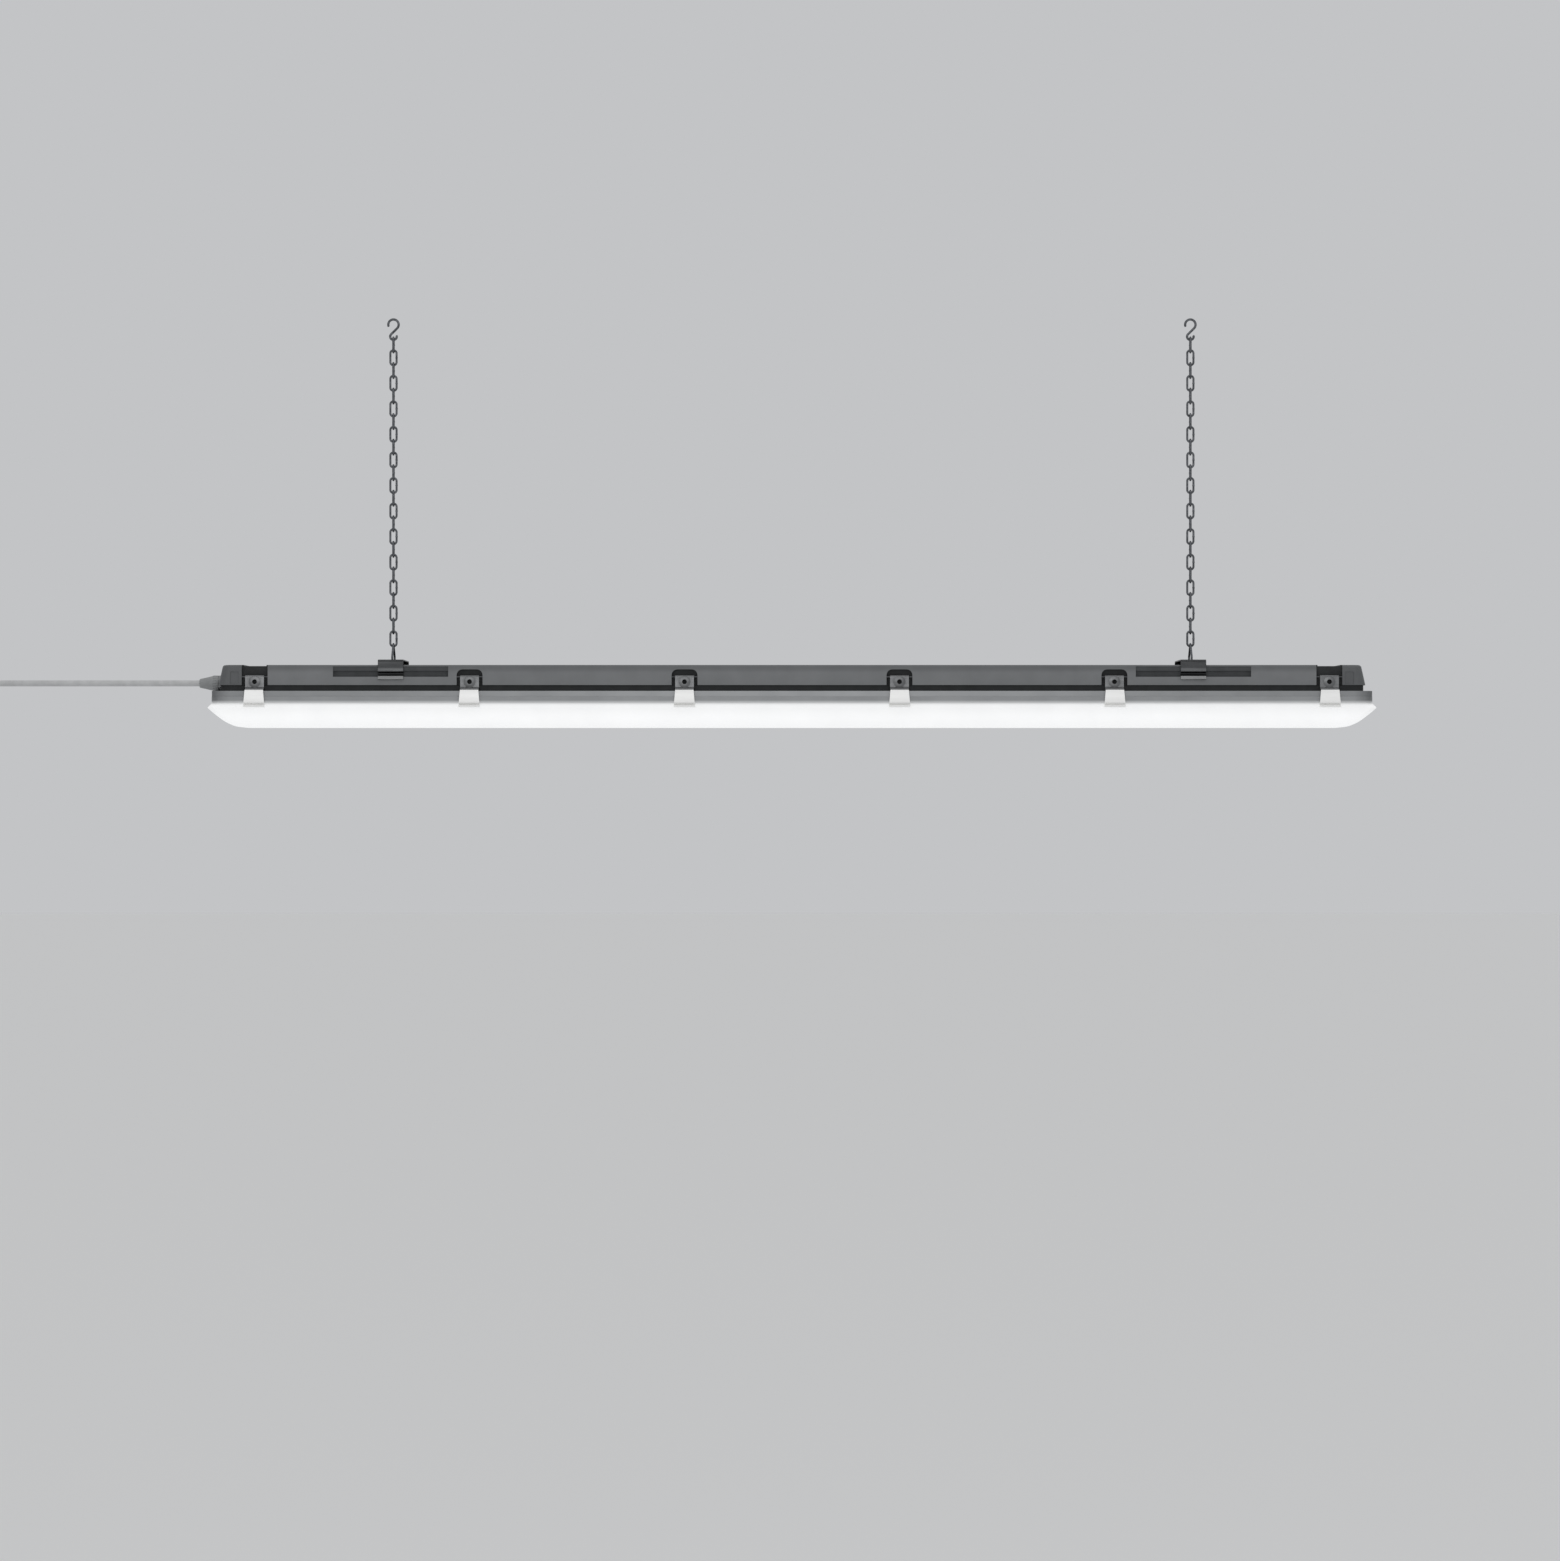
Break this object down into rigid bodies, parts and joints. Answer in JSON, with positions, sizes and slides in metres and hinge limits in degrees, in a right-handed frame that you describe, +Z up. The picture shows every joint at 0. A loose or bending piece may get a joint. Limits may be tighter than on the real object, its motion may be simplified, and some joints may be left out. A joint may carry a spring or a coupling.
{
  "type": "hanging shop light",
  "caption": "Sealed linear shop light with a glowing opal diffuser and clip latches, hung level on two link chains, with a gland, a mains cord and a plug.",
  "frame": {"origin": "midway between the two top hooks, at the height where the tops of their open loops rest on whatever holds them up", "axes": "+X along the light, away from its cord; +Z up, along the pull on the top hooks; -Y is the front, the long side that faces the viewer"},
  "size_m": [1.5285, 0.0892, 0.4295],
  "materials": {
    "zinc_plated_wire": "zinc-plated steel wire, gone dull in the air",
    "stainless_sheet": "rolled stainless sheet, satin",
    "pin_steel": "plain steel pins and screws",
    "grey_polycarbonate": "injection-moulded grey polycarbonate, fine matt texture",
    "gasket_foam": "poured foam gasket, matt",
    "opal_polycarbonate": "frosted opal polycarbonate, lit from inside",
    "white_enamel": "white powder coat",
    "board_white": "white solder mask",
    "chip_phosphor": "yellow phosphor under clear resin",
    "connector_ivory": "moulded nylon",
    "driver_steel": "pressed galvanised sheet",
    "circuit_green": "green solder mask",
    "lead_brown": "PVC-insulated wire",
    "lead_blue": "PVC-insulated wire",
    "lead_red": "PVC-insulated wire",
    "gland_nylon": "moulded grey nylon",
    "seal_rubber": "black neoprene",
    "cord_pvc": "light grey PVC, moulded and extruded",
    "plug_brass": "brass blades"
  },
  "bodies": {
    "hanger": {"top_hook_left": "zinc_plated_wire", "top_hook_right": "zinc_plated_wire"},
    "top_link_left": {"top_link_left": "zinc_plated_wire"},
    "chain_left": {"chain_left": "zinc_plated_wire"},
    "end_link_left": {"end_link_left": "zinc_plated_wire"},
    "carriage_left": {"bracket_left": "stainless_sheet", "stirrup_left": "zinc_plated_wire"},
    "top_link_right": {"top_link_right": "zinc_plated_wire"},
    "chain_right": {"chain_right": "zinc_plated_wire"},
    "end_link_right": {"end_link_right": "zinc_plated_wire"},
    "carriage_right": {"bracket_right": "stainless_sheet", "stirrup_right": "zinc_plated_wire"},
    "lamp": {"housing": "grey_polycarbonate", "gasket": "gasket_foam", "diffuser": "opal_polycarbonate", "latch_pins": "pin_steel", "gear_tray": "white_enamel", "tray_screws": "pin_steel", "tray_grommet": "seal_rubber", "led_board_left": "board_white", "led_board_right": "board_white", "led_chips": "chip_phosphor", "board_link": "connector_ivory", "driver_base": "driver_steel", "driver_board": "circuit_green", "driver_cover": "white_enamel", "driver_screws": "pin_steel", "terminal_block": "connector_ivory", "supply_leads": "lead_brown", "driver_leads": "lead_blue", "board_leads": "lead_red", "gland_body": "gland_nylon", "gland_locknut": "gland_nylon", "gland_seal": "seal_rubber", "gland_cap": "gland_nylon", "cord_tail": "cord_pvc", "cord": "cord_pvc", "plug_relief": "cord_pvc", "plug_body": "cord_pvc", "plug_blades": "plug_brass"},
    "latch_front_1": {"latch_front_1": "stainless_sheet"},
    "latch_rear_1": {"latch_rear_1": "stainless_sheet"},
    "latch_front_2": {"latch_front_2": "stainless_sheet"},
    "latch_rear_2": {"latch_rear_2": "stainless_sheet"},
    "latch_front_3": {"latch_front_3": "stainless_sheet"},
    "latch_rear_3": {"latch_rear_3": "stainless_sheet"},
    "latch_front_4": {"latch_front_4": "stainless_sheet"},
    "latch_rear_4": {"latch_rear_4": "stainless_sheet"},
    "latch_front_5": {"latch_front_5": "stainless_sheet"},
    "latch_rear_5": {"latch_rear_5": "stainless_sheet"},
    "latch_front_6": {"latch_front_6": "stainless_sheet"},
    "latch_rear_6": {"latch_rear_6": "stainless_sheet"}
  },
  "joints": [
    {"name": "swing_fore_aft_left", "type": "hinge", "parent": "hanger", "child": "top_link_left", "pos_m": [-0.418, 0, -0.02015], "axis": [1, 0, 0], "range_deg": [-30, 30]},
    {"name": "swing_sideways_left", "type": "hinge", "parent": "top_link_left", "child": "chain_left", "pos_m": [-0.418, 0, -0.0334], "axis": [0, 1, 0], "range_deg": [-30, 30]},
    {"name": "level_left", "type": "hinge", "parent": "chain_left", "child": "end_link_left", "pos_m": [-0.418, 0, -0.3282], "axis": [0, 1, 0], "range_deg": [-30, 30]},
    {"name": "swing_fore_aft_right", "type": "hinge", "parent": "hanger", "child": "top_link_right", "pos_m": [0.418, 0, -0.02015], "axis": [1, 0, 0], "range_deg": [-30, 30]},
    {"name": "swing_sideways_right", "type": "hinge", "parent": "top_link_right", "child": "chain_right", "pos_m": [0.418, 0, -0.0334], "axis": [0, 1, 0], "range_deg": [-30, 30]},
    {"name": "level_right", "type": "hinge", "parent": "chain_right", "child": "end_link_right", "pos_m": [0.418, 0, -0.3282], "axis": [0, 1, 0], "range_deg": [-30, 30]},
    {"name": "tilt", "type": "hinge", "parent": "end_link_left", "child": "carriage_left", "pos_m": [-0.418, 0, -0.3416], "axis": [1, 0, 0], "range_deg": [-30, 30]},
    {"name": "lamp_slide", "type": "slide", "parent": "carriage_left", "child": "lamp", "axis": [1, 0, 0], "range_m": [-0.045, 0.045]},
    {"name": "bracket_right_slide", "type": "slide", "parent": "lamp", "child": "carriage_right", "axis": [1, 0, 0], "range_m": [-0.045, 0.045]},
    {"name": "latch_front_1_turn", "type": "hinge", "parent": "lamp", "child": "latch_front_1", "pos_m": [-0.5595, -0.0346, -0.3745], "axis": [-1, 0, 0], "range_deg": [0, 100]},
    {"name": "latch_rear_1_turn", "type": "hinge", "parent": "lamp", "child": "latch_rear_1", "pos_m": [-0.5595, 0.0346, -0.3745], "axis": [1, 0, 0], "range_deg": [0, 100]},
    {"name": "latch_front_2_turn", "type": "hinge", "parent": "lamp", "child": "latch_front_2", "pos_m": [-0.3357, -0.0346, -0.3745], "axis": [-1, 0, 0], "range_deg": [0, 100]},
    {"name": "latch_rear_2_turn", "type": "hinge", "parent": "lamp", "child": "latch_rear_2", "pos_m": [-0.3357, 0.0346, -0.3745], "axis": [1, 0, 0], "range_deg": [0, 100]},
    {"name": "latch_front_3_turn", "type": "hinge", "parent": "lamp", "child": "latch_front_3", "pos_m": [-0.1119, -0.0346, -0.3745], "axis": [-1, 0, 0], "range_deg": [0, 100]},
    {"name": "latch_rear_3_turn", "type": "hinge", "parent": "lamp", "child": "latch_rear_3", "pos_m": [-0.1119, 0.0346, -0.3745], "axis": [1, 0, 0], "range_deg": [0, 100]},
    {"name": "latch_front_4_turn", "type": "hinge", "parent": "lamp", "child": "latch_front_4", "pos_m": [0.1119, -0.0346, -0.3745], "axis": [-1, 0, 0], "range_deg": [0, 100]},
    {"name": "latch_rear_4_turn", "type": "hinge", "parent": "lamp", "child": "latch_rear_4", "pos_m": [0.1119, 0.0346, -0.3745], "axis": [1, 0, 0], "range_deg": [0, 100]},
    {"name": "latch_front_5_turn", "type": "hinge", "parent": "lamp", "child": "latch_front_5", "pos_m": [0.3357, -0.0346, -0.3745], "axis": [-1, 0, 0], "range_deg": [0, 100]},
    {"name": "latch_rear_5_turn", "type": "hinge", "parent": "lamp", "child": "latch_rear_5", "pos_m": [0.3357, 0.0346, -0.3745], "axis": [1, 0, 0], "range_deg": [0, 100]},
    {"name": "latch_front_6_turn", "type": "hinge", "parent": "lamp", "child": "latch_front_6", "pos_m": [0.5595, -0.0346, -0.3745], "axis": [-1, 0, 0], "range_deg": [0, 100]},
    {"name": "latch_rear_6_turn", "type": "hinge", "parent": "lamp", "child": "latch_rear_6", "pos_m": [0.5595, 0.0346, -0.3745], "axis": [1, 0, 0], "range_deg": [0, 100]}
  ],
  "couplings": [
    {"joint": "swing_fore_aft_right", "follows": "swing_fore_aft_left", "ratio": 1},
    {"joint": "swing_sideways_left", "follows": "level_left", "ratio": -1},
    {"joint": "swing_sideways_right", "follows": "level_left", "ratio": -1},
    {"joint": "level_right", "follows": "level_left", "ratio": 1},
    {"joint": "bracket_right_slide", "follows": "lamp_slide", "ratio": -1}
  ]
}
